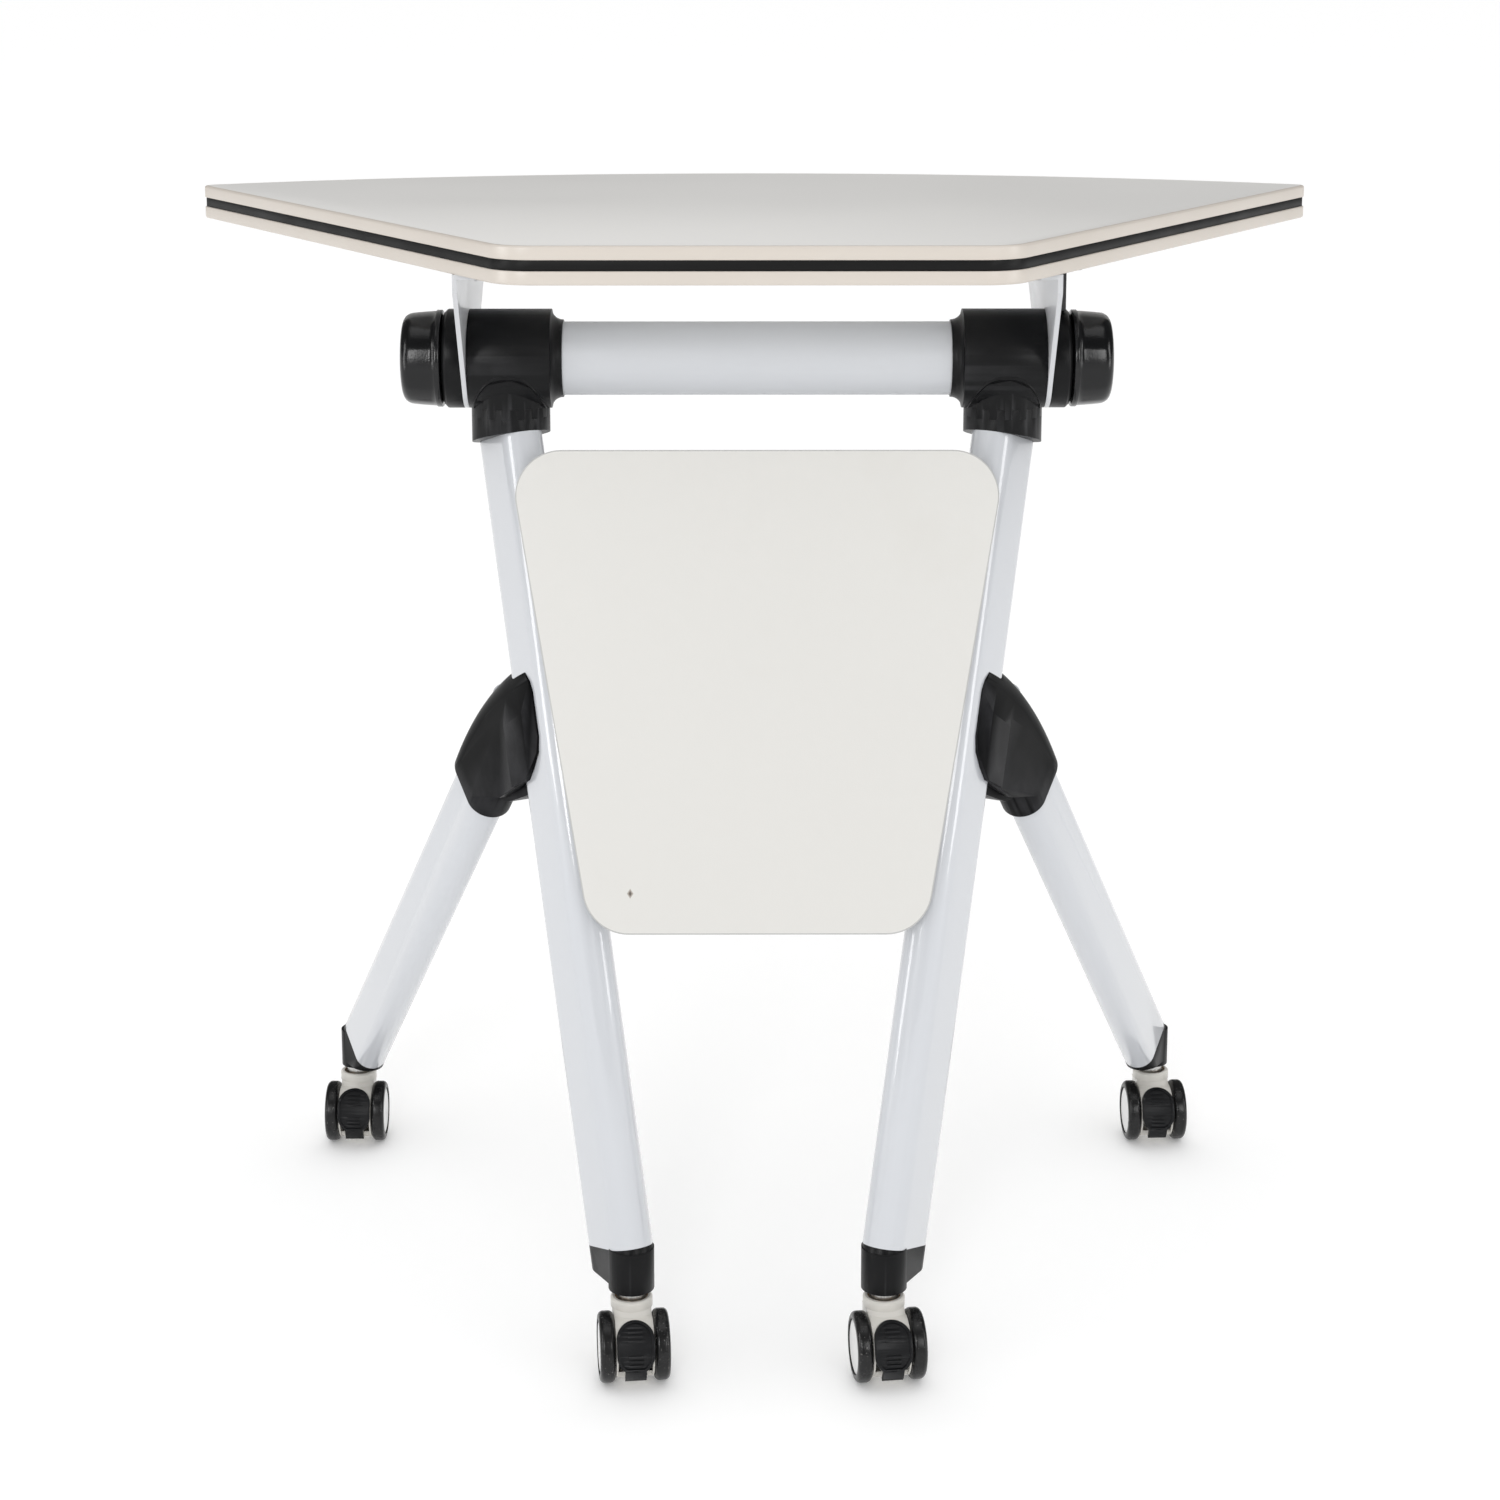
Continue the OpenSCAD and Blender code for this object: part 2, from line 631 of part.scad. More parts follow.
// Moulded foot: a block that ends the leg and a round boss that takes the castor stem
stem_bite = 27;
module foot(name, stem_u, at, lean, width, thick, boss_d) {
    way = stem_u > 0 ? 1 : -1;
    meet = at[1] - (way * (stem_u - at[0]) + boss_d / 2 - width / 2 / cos(lean)) / tan(abs(lean));
    sole = foot_h + 4;
    step = meet + 1;
    color("dimgray") leg_plane(name) difference() {
        union() {
            difference() {
                union() {
                    translate([stem_u, 0, foot_h]) cylinder(d = boss_d, h = step + 1 - foot_h);
                    intersection() {
                        oval_bar(at, lean + 180, 2 * width, width, thick);
                        leg_sheet(thick) polygon([
                            [stem_u, sole], [stem_u, step], [stem_u + way * width, step],
                            [stem_u + way * width, top_h], [stem_u - way * 2 * width, top_h],
                            [stem_u - way * 2 * width, sole]
                        ]);
                    }
                }
                oval_bar(at, lean, 2 * width, width + 2 * fit, thick + 2 * fit);
            }
            tube_tenon(at, lean, width, thick);
        }
        translate([stem_u, 0, foot_h - cut]) cylinder(r = stem_d / 2 + fit, h = stem_bite + cut);
    }
}
module front_foot(name) {
    foot(name, -front_reach, front_foot_at, front_lean, front_w, front_t, front_t + 1);
}
module rear_foot(name) {
    foot(name, rear_reach, rear_point(rear_end), -rear_lean, rear_w, rear_t, rear_t + 1);
}

// Modesty panel: x across, y up the slope, z towards the front, from a point on its back face
module on_panel() {
    translate([0, panel_ref_y, panel_ref_z]) rotate([90 - panel_lean, 0, 0]) children();
}
panel_top = beam_z - panel_drop;
panel_rise = (panel_top - panel_ref_z - panel_t * sin(panel_lean)) / cos(panel_lean);
module panel_outline() {
    low = panel_rise - panel_len;
    a = atan((panel_top_w - panel_bottom_w) / 2 / panel_len);
    top_x = panel_top_w / 2 - panel_r * (1 + sin(a)) / cos(a);
    low_x = panel_bottom_w / 2 - panel_r * (1 - sin(a)) / cos(a);
    right = [
        [low_x, low], [low_x + panel_r * cos(a), low + panel_r * (1 - sin(a))],
        [top_x + panel_r * cos(a), panel_rise - panel_r * (1 + sin(a))], [top_x, panel_rise]
    ];
    polygon(concat(right, [for (i = [3:-1:0]) [-right[i][0], right[i][1]]]));
    for (side = [-1, 1]) {
        translate([side * top_x, panel_rise - panel_r]) circle(r = panel_r);
        translate([side * low_x, low + panel_r]) circle(r = panel_r);
    }
}
// Clip section in the plane square to the front leg: x backwards from the leg axis, y to the middle
clip_t = 2.5;
clip_len = 26;
clip_arm = 24;
clip_heights = [panel_top - clip_inset_top, panel_top - panel_len + clip_inset_bottom];
// Direction square to the panel's back in that plane
clip_n = let(w = cos(panel_lean) * leg_dir[1] * cos(front_lean) + sin(panel_lean) * sin(front_lean))
    [w, sqrt(1 - w * w)];
clip_face = -leg_nose * clip_n[0] - panel_back;
clip_corner = [(clip_face - front_t / 2 * clip_n[1]) / clip_n[0], front_t / 2];
clip_inner = [(clip_face + clip_t - (front_t / 2 + clip_t) * clip_n[1]) / clip_n[0], front_t / 2 + clip_t];
clip_along = [-clip_n[1], clip_n[0]];
module at_clips(name) {
    for (z = clip_heights) leg_plane(name) translate([front_u(z), 0, z]) rotate([0, front_lean, 0])
        children();
}
module panel_clips() {
    tail = 12;
    color("silver") for (name = SIDES) at_clips(name) difference() {
        translate([0, 0, -clip_len / 2]) linear_extrude(clip_len) polygon([
            [tail, front_t / 2], [tail, front_t / 2 + clip_t], clip_inner,
            clip_corner + clip_along * clip_arm + clip_n * clip_t,
            clip_corner + clip_along * clip_arm, clip_corner
        ]);
        leg_screw(fit);
        panel_screw(fit);
    }
}
clip_screw_r = 2;
clip_head_r = 3.6;
clip_head_h = 2;
leg_screw_len = clip_t + 6;
panel_screw_len = clip_t + panel_t - 2;
// Screw shank that goes in along minus y; a slack makes it the hole for itself
module leg_screw(slack = 0) {
    translate([0, front_t / 2 + clip_t + (slack > 0 ? cut : 0), 0]) rotate([90, 0, 0])
        cylinder(r = clip_screw_r + slack, h = leg_screw_len + (slack > 0 ? cut + slack : 0));
}
module along_panel_screw() {
    spot = clip_corner + clip_along * 10 + clip_n * clip_t;
    translate([spot[0], spot[1], 0]) rotate([0, 0, atan2(clip_n[1], clip_n[0])])
        rotate([0, -90, 0]) children();
}
module panel_screw(slack = 0) {
    more = slack > 0 ? cut : 0;
    along_panel_screw() translate([0, 0, -more])
        cylinder(r = clip_screw_r + slack, h = panel_screw_len + more + slack);
}
module panel_screws() {
    color("silver") for (name = SIDES) at_clips(name) {
        leg_screw();
        translate([0, front_t / 2 + clip_t, 0]) rotate([-90, 0, 0])
            cylinder(r = clip_head_r, h = clip_head_h);
        panel_screw();
        along_panel_screw() mirror([0, 0, 1]) cylinder(r = clip_head_r, h = clip_head_h);
    }
}
module modesty_panel() {
    color("whitesmoke") difference() {
        on_panel() linear_extrude(panel_t) panel_outline();
        for (name = SIDES) at_clips(name) panel_screw(fit);
    }
}

// Castors: origin on the floor under the stem, pedal towards -y
module castor_at(corner) {
    front = corner == "front_left" || corner == "front_right";
    left = corner == "front_left" || corner == "rear_left";
    turn = front ? (left ? front_left_turn : front_right_turn) : (left ? rear_left_turn : rear_right_turn);
    reach = front ? -front_reach : rear_reach;
    translate([(left ? -1 : 1) * (cup_x + reach * leg_dir[0]), beam_y + reach * leg_dir[1], 0])
        rotate([0, 0, turn]) children();
}
// Along the axle, outwards to the right
module on_axle() {
    translate([0, -trail, axle_z]) rotate([0, 90, 0]) children();
}
neck_top = foot_h - 5.5;
neck_r = 14.2;
cup_depth = 3;
cup_room_r = 11.3;
stem_ring_r = 9;
crown_z = wheel_d - 1;
flare_h = 3.5;
flare_r = neck_r + 3.8;
stem_low = wheel_d - 10;
module castor_stems() {
    color("silver") for (corner = CORNERS) castor_at(corner) {
        translate([0, 0, stem_low]) cylinder(d = stem_d, h = foot_h + stem_bite - cut - stem_low);
        translate([0, 0, neck_top - cup_depth + gap])
            cylinder(r = stem_ring_r, h = foot_h - neck_top + cup_depth - gap);
    }
}
trunnion_r = 2;
trunnion_y = -trail - 13;
trunnion_z = axle_z + 3.5;
module castor_hood(corner) {
    body_r = wheel_d / 2 - 3.2;
    room_r = body_r - 2.3;
    room_half = hood_half - cheek_t;
    block = [-9, 10];
    bevel = 1.2;
    color("antiquewhite") castor_at(corner) difference() {
        union() {
            translate([-hood_half, 0, 0]) rotate([90, 0, 90]) linear_extrude(2 * hood_half) {
                translate([-trail, axle_z]) circle(r = body_r);
                translate([block[0], axle_z]) square([block[1] - block[0], crown_z - flare_h + 0.5 - axle_z]);
            }
            intersection() {
                translate([0, 0, crown_z - flare_h]) cylinder(r1 = flare_r, r2 = neck_r, h = flare_h + 0.4);
                translate([-hood_half, -wheel_d, 0]) cube([2 * hood_half, 2 * wheel_d, top_h]);
            }
            translate([0, 0, crown_z]) cylinder(r = neck_r, h = neck_top - bevel - crown_z);
            translate([0, 0, neck_top - bevel]) cylinder(r1 = neck_r, r2 = neck_r - bevel, h = bevel);
        }
        translate([-room_half, 0, 0]) rotate([90, 0, 90]) linear_extrude(2 * room_half) {
            translate([-trail, axle_z]) circle(r = room_r);
            translate([trunnion_y - 2 * body_r, axle_z - room_r]) square([2 * body_r, 2 * body_r]);
        }
        translate([0, 0, stem_low - gap]) cylinder(r = stem_d / 2 + run, h = foot_h);
        translate([0, 0, neck_top - cup_depth]) cylinder(r = cup_room_r, h = foot_h);
        on_axle() translate([0, 0, -wheel_d]) cylinder(r = axle_d / 2 + fit, h = 2 * wheel_d);
        translate([-wheel_d, trunnion_y, trunnion_z]) rotate([0, 90, 0])
            cylinder(r = trunnion_r + run, h = 2 * wheel_d);
    }
}
axle_half = castor_w / 2 - 3;
module axle(corner) {
    color("silver") castor_at(corner) on_axle() translate([0, 0, -axle_half])
        cylinder(d = axle_d, h = 2 * axle_half);
}
// Wheel side: left lies at -x
module wheel_side(name) {
    on_axle() mirror([0, 0, name == "left" ? 1 : 0]) translate([0, 0, wheel_in]) children();
}
module tyre(corner, name) {
    bore_r = hub_d / 2 + fit;
    outer = wheel_d / 2;
    color("dimgray") castor_at(corner) wheel_side(name) rotate_extrude() intersection() {
        translate([bore_r, 0]) square([outer - bore_r, wheel_w]);
        union() {
            square([outer - tyre_round, wheel_w]);
            translate([0, tyre_round]) square([outer, wheel_w - 2 * tyre_round]);
            for (h = [tyre_round, wheel_w - tyre_round]) translate([outer - tyre_round, h])
                circle(r = tyre_round);
        }
    }
}
module hub(corner, name) {
    crest = 0.8;
    sunk = 0.4;
    color("white") castor_at(corner) wheel_side(name) difference() {
        union() {
            cylinder(d = hub_d, h = wheel_w - sunk - crest);
            translate([0, 0, wheel_w - sunk - crest]) cylinder(r1 = hub_d / 2, r2 = hub_d / 2 - 3, h = crest);
        }
        translate([0, 0, -cut]) cylinder(r = axle_d / 2 + run, h = axle_half - wheel_in + gap + cut);
    }
}
// Pedal outline across the tilted view, inset from its edge, with y measured from the axle
module pedal_outline(inset) {
    r = pedal_half - inset;
    for (y = [pedal_rise - pedal_half, pedal_half - pedal_fall]) translate([0, y]) circle(r = r);
    translate([-r, pedal_half - pedal_fall]) square([2 * r, pedal_rise + pedal_fall - 2 * pedal_half]);
}
// Part of a shell round the axle that shows through an outline
module pedal_band(inner, outer) {
    near = 9;
    intersection() {
        on_axle() translate([0, 0, -pedal_half - cut]) difference() {
            cylinder(r = outer, h = 2 * (pedal_half + cut));
            translate([0, 0, -cut]) cylinder(r = inner, h = 2 * pedal_half + 4 * cut);
        }
        translate([0, -trail, axle_z]) rotate([90 - pedal_tilt, 0, 0]) translate([0, 0, near])
            linear_extrude(wheel_d) children();
    }
}
module brake_pedal(corner) {
    skirt_half = 7.1;
    skirt_low = -22.8;
    rim = 1.8;
    dish = 1;
    rib = [9.6, 1];
    rib_pitch = 2.9;
    rib_from = [2, -8];
    lug = [3, 10, 4];
    lug_x = 8;
    color("dimgray") castor_at(corner) {
        difference() {
            pedal_band(pedal_r - pedal_t, pedal_r) {
                pedal_outline(0);
                translate([-skirt_half, skirt_low]) square([2 * skirt_half, -skirt_low]);
            }
            pedal_band(pedal_r - dish, pedal_r + cut) difference() {
                pedal_outline(rim);
                for (i = [0:3]) for (y = [rib_from[0] + i * rib_pitch, rib_from[1] - i * rib_pitch])
                    translate([-rib[0] / 2, y]) square(rib);
            }
        }
        for (side = [-1, 1])
            translate([side * lug_x - lug[0] / 2, trunnion_y - lug[1], trunnion_z - lug[2] / 2]) cube(lug);
        translate([-hood_half + fit, trunnion_y, trunnion_z]) rotate([0, 90, 0])
            cylinder(r = trunnion_r, h = 2 * (hood_half - fit));
    }
}

beam_tube();
beam_plugs();
clamp_studs();
coupling_bolts();
modesty_panel();
panel_clips();
panel_screws();
castor_stems();
top_board();
edge_lipping();
edge_stripe();
bracket_screws();
pivot_collars();
stop_plate();
for (name = SIDES) {
    t_joint(name);
    index_cup(name);
    front_leg(name);
    rear_leg(name);
    leg_coupling(name);
    front_foot(name);
    rear_foot(name);
    bracket(name);
    clamp_knob(name);
}
for (corner = CORNERS) {
    castor_hood(corner);
    axle(corner);
    brake_pedal(corner);
    for (name = SIDES) {
        tyre(corner, name);
        hub(corner, name);
    }
}
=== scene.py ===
# %% [markdown]
# # A rolling student desk
# The top is a sixty degree slice of a ring, so that six desks close into a circle. It tips up on a
# cross beam, and two pairs of oval legs stand on twin-wheel castors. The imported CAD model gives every
# size and place. This script gives each of its pieces its eased edges and its finish, and models the
# forms that catch the light: the rounded lipping, the knobs, the saddles of the T-joints and the
# necks of the castors.

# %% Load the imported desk
import bmesh
import bpy
import json
import math
from mathutils import Matrix, Vector


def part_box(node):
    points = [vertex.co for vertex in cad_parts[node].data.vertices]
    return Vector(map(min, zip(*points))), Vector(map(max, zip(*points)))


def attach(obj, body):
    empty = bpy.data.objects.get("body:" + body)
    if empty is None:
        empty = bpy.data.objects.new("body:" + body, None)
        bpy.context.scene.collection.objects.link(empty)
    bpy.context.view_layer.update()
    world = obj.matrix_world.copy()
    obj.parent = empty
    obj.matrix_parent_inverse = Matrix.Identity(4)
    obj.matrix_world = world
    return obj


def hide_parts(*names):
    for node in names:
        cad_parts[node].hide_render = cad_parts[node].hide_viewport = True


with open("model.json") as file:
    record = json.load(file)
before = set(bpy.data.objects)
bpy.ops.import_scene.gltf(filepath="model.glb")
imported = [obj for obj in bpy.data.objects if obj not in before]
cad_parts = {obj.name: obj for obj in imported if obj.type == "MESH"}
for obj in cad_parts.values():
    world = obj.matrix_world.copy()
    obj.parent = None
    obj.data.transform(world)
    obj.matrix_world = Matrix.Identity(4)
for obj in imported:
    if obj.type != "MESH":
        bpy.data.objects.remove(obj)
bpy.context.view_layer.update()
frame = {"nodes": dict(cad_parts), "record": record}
record = frame["record"]
body_of = {n: b for b, nodes in record["behaviour"]["bodies"].items() for n in nodes}
slot_of = {s["node"]: s["material_slot"] for s in record["subparts"]}
pivot = {j["name"]: Vector(j["pos_m"]) for j in record["behaviour"]["joints"]}
MM = 0.001
SIDES = ("left", "right")
CORNERS = ("front_left", "front_right", "rear_left", "rear_right")

# %% [markdown]
# ## The camera
# The desk is seen square to its short edge, from a little above the worktop. The picture was taken
# with the lens moved down, so that upright lines stay upright. A small shift keeps some of that look,
# and the rest of the view down comes from tipping the camera.

# %% Stand the camera in front of the short edge
FRAME_PX = 1500
FOCAL_PX = 2969
LENS_SHIFT = -0.15
EYE_SIDE, EYE_BACK, EYE_UP = -11 * MM, 1860 * MM, 950 * MM
tip_down = math.radians(11.2)
turn_right = math.radians(0.18)
short_edge_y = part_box("edge_lipping")[0].y
eye = Vector((EYE_SIDE, short_edge_y - EYE_BACK, EYE_UP))
camera_data = bpy.data.cameras.new("desk_camera")
camera_data.sensor_width = 36
camera_data.lens = FOCAL_PX / FRAME_PX * camera_data.sensor_width
camera_data.shift_y = LENS_SHIFT
camera_data.clip_end = 500
camera = bpy.data.objects.new("desk_camera", camera_data)
camera.location = eye
camera.rotation_euler = (math.pi / 2 - tip_down, 0, -turn_right)
bpy.context.scene.collection.objects.link(camera)
bpy.context.scene.camera = camera
print("camera at", [round(v, 3) for v in eye], "lens", round(camera_data.lens, 1), "mm")

# %% [markdown]
# ## Floor and light
# A product picture is lit from all round. A wide pale floor and a white sky give the soft fill, and
# one softbox in front gives the worktop and the beam their even tone. The others are there for their
# reflections only: two in front on either hand draw the bright patch on each knob and foot, two tall
# ones at the sides draw the line down each glossy leg, and one above lights every upper edge.

# %% Lay the floor
FLOOR_R = 150
FLOOR_DROP = 0.5 * MM
floor_mesh = bpy.data.meshes.new("floor")
bm = bmesh.new()
bmesh.ops.create_circle(bm, cap_ends=True, segments=96, radius=FLOOR_R)
bm.to_mesh(floor_mesh)
bm.free()
floor = bpy.data.objects.new("floor", floor_mesh)
bpy.context.scene.collection.objects.link(floor)
floor.location.z = -FLOOR_DROP
floor_paint = bpy.data.materials.new("floor_paint")
floor_paint.use_nodes = True
floor_shader = floor_paint.node_tree.nodes["Principled BSDF"]
floor_shader.inputs["Base Color"].default_value = (0.93, 0.93, 0.93, 1)
floor_shader.inputs["Roughness"].default_value = 0.9
floor_shader.inputs["Specular IOR Level"].default_value = 0.2
floor_shader.inputs["Emission Color"].default_value = (1, 1, 1, 1)
floor_shader.inputs["Emission Strength"].default_value = 0.12
floor_mesh.materials.append(floor_paint)


# %% Hang the softboxes
def softbox(name, place, target, width, height, watts, reflected=True, lights=False):
    data = bpy.data.lights.new(name, "AREA")
    data.shape = "RECTANGLE"
    data.size, data.size_y, data.energy = width, height, watts
    box = bpy.data.objects.new(name, data)
    box.location = place
    box.rotation_euler = (Vector(target) - Vector(place)).to_track_quat("-Z", "Y").to_euler()
    box.visible_diffuse, box.visible_glossy = lights, reflected
    bpy.context.scene.collection.objects.link(box)
    return box


softbox("front_box", (-0.5, -3.3, 1.7), (0, 0, 0.5), 0.65, 1.1, 16, reflected=False, lights=True)
softbox("left_front_box", (-1.55, -3.1, 1.55), (0, 0, 0.6), 0.8, 1.4, 38)
softbox("right_front_box", (1.55, -3.1, 1.55), (0, 0, 0.6), 0.8, 1.4, 26)
softbox("left_box", (-2.6, -1.05, 1.1), (0, 0, 0.45), 0.7, 2.0, 26)
softbox("right_box", (2.6, -1.05, 1.1), (0, 0, 0.45), 0.7, 2.0, 22)
softbox("top_box", (0, -0.5, 3.0), (0, 0, 0.4), 2.4, 1.6, 15)
sky = bpy.data.worlds.new("white_sky")
bpy.context.scene.world = sky
sky.use_nodes = True
sky_nodes, sky_links = sky.node_tree.nodes, sky.node_tree.links
sky_nodes["Background"].inputs["Color"].default_value = (1, 1, 1, 1)
# The sky is much dimmer in a reflection, so that only the softboxes draw lines on black and glossy parts
SKY_SEEN, SKY_REFLECTED = 1.0, 0.12
ray = sky_nodes.new("ShaderNodeLightPath")
dimmer = sky_nodes.new("ShaderNodeMapRange")
dimmer.inputs["To Min"].default_value, dimmer.inputs["To Max"].default_value = SKY_SEEN, SKY_REFLECTED
sky_links.new(ray.outputs["Is Glossy Ray"], dimmer.inputs["Value"])
sky_links.new(dimmer.outputs["Result"], sky_nodes["Background"].inputs["Strength"])
bpy.context.scene.view_settings.view_transform = "Standard"

# %% [markdown]
# ## Shared surface effects
# Three effects turn up on many finishes, so each is a node group: a slow drift of tone over a big
# surface, the fine grain of moulded plastic and powder coat, and a lighter tone on rubbed edges.


# %% Helpers that build node groups
def start_group(name, inputs, outputs):
    tree = bpy.data.node_groups.new(name, "ShaderNodeTree")
    for label, kind, value in inputs:
        tree.interface.new_socket(label, in_out="INPUT", socket_type=kind).default_value = value
    for label, kind in outputs:
        tree.interface.new_socket(label, in_out="OUTPUT", socket_type=kind)
    return tree, tree.nodes.new("NodeGroupInput"), tree.nodes.new("NodeGroupOutput")


def noise(tree, vector, scale, detail=3.0):
    node = tree.nodes.new("ShaderNodeTexNoise")
    node.inputs["Detail"].default_value = detail
    tree.links.new(vector, node.inputs["Vector"])
    if isinstance(scale, (int, float)):
        node.inputs["Scale"].default_value = scale
    else:
        tree.links.new(scale, node.inputs["Scale"])
    return node


def mix_colours(tree, factor, first, second):
    node = tree.nodes.new("ShaderNodeMix")
    node.data_type = "RGBA"
    tree.links.new(factor, node.inputs["Factor"])
    for socket, value in ((node.inputs["A"], first), (node.inputs["B"], second)):
        if isinstance(value, tuple):
            socket.default_value = (*value, 1)
        else:
            tree.links.new(value, socket)
    return node.outputs["Result"]


def remap(tree, value, low, high, to_low, to_high):
    node = tree.nodes.new("ShaderNodeMapRange")
    tree.links.new(value, node.inputs["Value"])
    for label, number in zip(("From Min", "From Max", "To Min", "To Max"), (low, high, to_low, to_high)):
        node.inputs[label].default_value = number
    return node.outputs["Result"]


def maths(tree, operation, first, second):
    node = tree.nodes.new("ShaderNodeMath")
    node.operation = operation
    for socket, value in zip(node.inputs, (first, second)):
        if isinstance(value, (int, float)):
            socket.default_value = value
        else:
            tree.links.new(value, socket)
    return node.outputs[0]


# %% Tone drift
drift_tree, drift_in, drift_out = start_group(
    "tone_drift",
    [("Vector", "NodeSocketVector", (0, 0, 0)), ("Scale", "NodeSocketFloat", 4.0)],
    [("Mask", "NodeSocketFloat")],
)
slow = noise(drift_tree, drift_in.outputs["Vector"], drift_in.outputs["Scale"])
drift_tree.links.new(remap(drift_tree, slow.outputs["Fac"], 0.15, 0.85, 0, 1), drift_out.inputs["Mask"])

# %% Fine grain
grain_tree, grain_in, grain_out = start_group(
    "fine_grain",
    [("Vector", "NodeSocketVector", (0, 0, 0)), ("Scale", "NodeSocketFloat", 900.0)],
    [("Height", "NodeSocketFloat")],
)
pits = grain_tree.nodes.new("ShaderNodeTexVoronoi")
grain_tree.links.new(grain_in.outputs["Vector"], pits.inputs["Vector"])
grain_tree.links.new(grain_in.outputs["Scale"], pits.inputs["Scale"])
cloud = noise(grain_tree, grain_in.outputs["Vector"], grain_in.outputs["Scale"], 2.0)
grain_tree.links.new(
    maths(grain_tree, "ADD", pits.outputs["Distance"], cloud.outputs["Fac"]), grain_out.inputs["Height"]
)

# %% Rubbed edges
rub_tree, rub_in, rub_out = start_group(
    "rubbed_edges",
    [
        ("Vector", "NodeSocketVector", (0, 0, 0)),
        ("Low", "NodeSocketFloat", 0.52),
        ("High", "NodeSocketFloat", 0.62),
    ],
    [("Mask", "NodeSocketFloat")],
)
shape = rub_tree.nodes.new("ShaderNodeNewGeometry")
edge = rub_tree.nodes.new("ShaderNodeMapRange")
rub_tree.links.new(shape.outputs["Pointiness"], edge.inputs["Value"])
rub_tree.links.new(rub_in.outputs["Low"], edge.inputs["From Min"])
rub_tree.links.new(rub_in.outputs["High"], edge.inputs["From Max"])
PATCH_SCALE = 60.0
patchy = noise(rub_tree, rub_in.outputs["Vector"], PATCH_SCALE)
rub_tree.links.new(
    maths(rub_tree, "MULTIPLY", edge.outputs["Result"], patchy.outputs["Fac"]), rub_out.inputs["Mask"]
)
print("node groups:", [g.name for g in bpy.data.node_groups])


# %% [markdown]
# ## The finishes
# Each finish is a Principled shader whose colour, roughness and bump come from those effects, read
# from Object coordinates. The object sits at the origin, so a pattern keeps its real size on every
# piece. Values that are the same all over are set on the shader itself.


# %% Helper that starts a finish
def finish_named(name, roughness, metallic=0.0, coat=0.0, coat_roughness=0.1, specular=0.5):
    material = bpy.data.materials.new(name)
    material.use_nodes = True
    tree = material.node_tree
    shader = tree.nodes["Principled BSDF"]
    shader.inputs["Roughness"].default_value = roughness
    shader.inputs["Metallic"].default_value = metallic
    shader.inputs["Coat Weight"].default_value = coat
    shader.inputs["Coat Roughness"].default_value = coat_roughness
    shader.inputs["Specular IOR Level"].default_value = specular
    place = tree.nodes.new("ShaderNodeTexCoord").outputs["Object"]
    return material, tree, shader, place


def group_value(tree, group, place, output, **values):
    node = tree.nodes.new("ShaderNodeGroup")
    node.node_tree = bpy.data.node_groups[group]
    tree.links.new(place, node.inputs["Vector"])
    for label, value in values.items():
        node.inputs[label].default_value = value
    return node.outputs[output]


def add_bump(tree, shader, height, distance):
    bump = tree.nodes.new("ShaderNodeBump")
    bump.inputs["Distance"].default_value = distance
    tree.links.new(height, bump.inputs["Height"])
    tree.links.new(bump.outputs["Normal"], shader.inputs["Normal"])


def tint(tree, shader, mask, colour):
    """Lay a second colour over the finish wherever the mask is white"""
    under = shader.inputs["Base Color"].links[0].from_socket
    tree.links.new(mix_colours(tree, mask, under, colour), shader.inputs["Base Color"])


def plain_finish(
    name, light, dark, roughness, grain, depth=0.02 * MM, drift=5.0, spread=0.08, **shader_values
):
    """A painted, laminated or moulded surface: two close tones, patchy roughness and a fine grain"""
    material, tree, shader, place = finish_named(name, roughness, **shader_values)
    mask = group_value(tree, "tone_drift", place, "Mask", Scale=drift)
    tree.links.new(mix_colours(tree, mask, dark, light), shader.inputs["Base Color"])
    patchy_roughness = remap(tree, mask, 0, 1, roughness + spread, roughness - spread)
    tree.links.new(patchy_roughness, shader.inputs["Roughness"])
    add_bump(tree, shader, group_value(tree, "fine_grain", place, "Height", Scale=grain), depth)
    return material, tree, shader, place


def kite_mask(tree, place, centre, half_width, half_height, soft=0.15):
    """White inside a small kite that stands square to the front at a point"""
    mapping = tree.nodes.new("ShaderNodeMapping")
    mapping.inputs["Scale"].default_value = (1 / half_width, 0, 1 / half_height)
    mapping.inputs["Location"].default_value = (-centre[0] / half_width, 0, -centre[1] / half_height)
    tree.links.new(place, mapping.inputs["Vector"])
    parts = tree.nodes.new("ShaderNodeSeparateXYZ")
    tree.links.new(mapping.outputs["Vector"], parts.inputs["Vector"])
    across, up = (maths(tree, "ABSOLUTE", parts.outputs[axis], 0) for axis in ("X", "Z"))
    return remap(tree, maths(tree, "ADD", across, up), 1 - soft, 1 + soft, 1, 0)


# %% Laminate of the worktop
laminate = plain_finish("laminate", (0.785, 0.776, 0.756), (0.758, 0.748, 0.728), 0.46, 1400, drift=3.0)[0]

# %% Cream lipping and its black stripe
lipping = plain_finish(
    "cream_lipping", (0.64, 0.587, 0.528), (0.615, 0.562, 0.503), 0.36, 1200, drift=14.0
)[0]
stripe = plain_finish(
    "black_stripe", (0.007,) * 3, (0.005,) * 3, 0.45, 1500, 0.03 * MM, drift=20.0, specular=0.15
)[0]

# %% [markdown]
# The tubes are powder coated and glossy. A clear coat over the paint carries the sharp reflection of
# the side softboxes, and the paint under it stays soft. The beam's paint is duller and has no coat.

